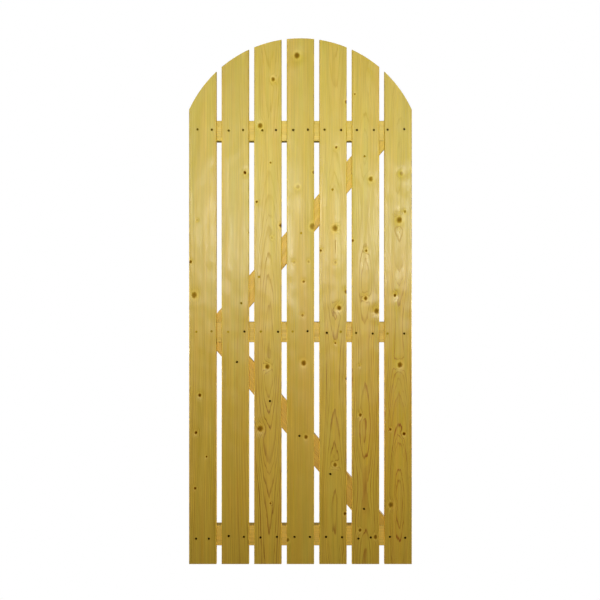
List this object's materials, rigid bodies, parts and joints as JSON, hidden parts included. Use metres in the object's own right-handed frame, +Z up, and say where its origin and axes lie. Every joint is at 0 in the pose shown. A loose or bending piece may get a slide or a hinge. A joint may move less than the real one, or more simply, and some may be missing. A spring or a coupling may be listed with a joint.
{
  "type": "bow top gate",
  "caption": "Ledged and braced timber garden gate leaf: spaced upright boards sawn to an arched top, with level rails and slanting braces on the back.",
  "frame": {"origin": "on the hinge edge of the leaf, at the foot of the first board and the middle of its thickness", "axes": "+X across the leaf from hinge edge to latch edge, +Y from the boarded front to the railed back, +Z up"},
  "size_m": [0.763, 0.048, 1.8],
  "materials": {
    "boards": "planed softwood, pressure treated, pale green-gold",
    "rails": "planed softwood, pressure treated, warmer gold",
    "nails": "bright steel nail heads, stained brown",
    "braces": "planed softwood, pressure treated, warmer gold"
  },
  "bodies": {
    "root": {"board_1": "boards", "board_2": "boards", "board_3": "boards", "board_4": "boards", "board_5": "boards", "board_6": "boards", "board_7": "boards", "bottom_rail": "rails", "middle_rail": "rails", "top_rail": "rails", "lower_brace": "braces", "upper_brace": "braces"}
  },
  "joints": []
}
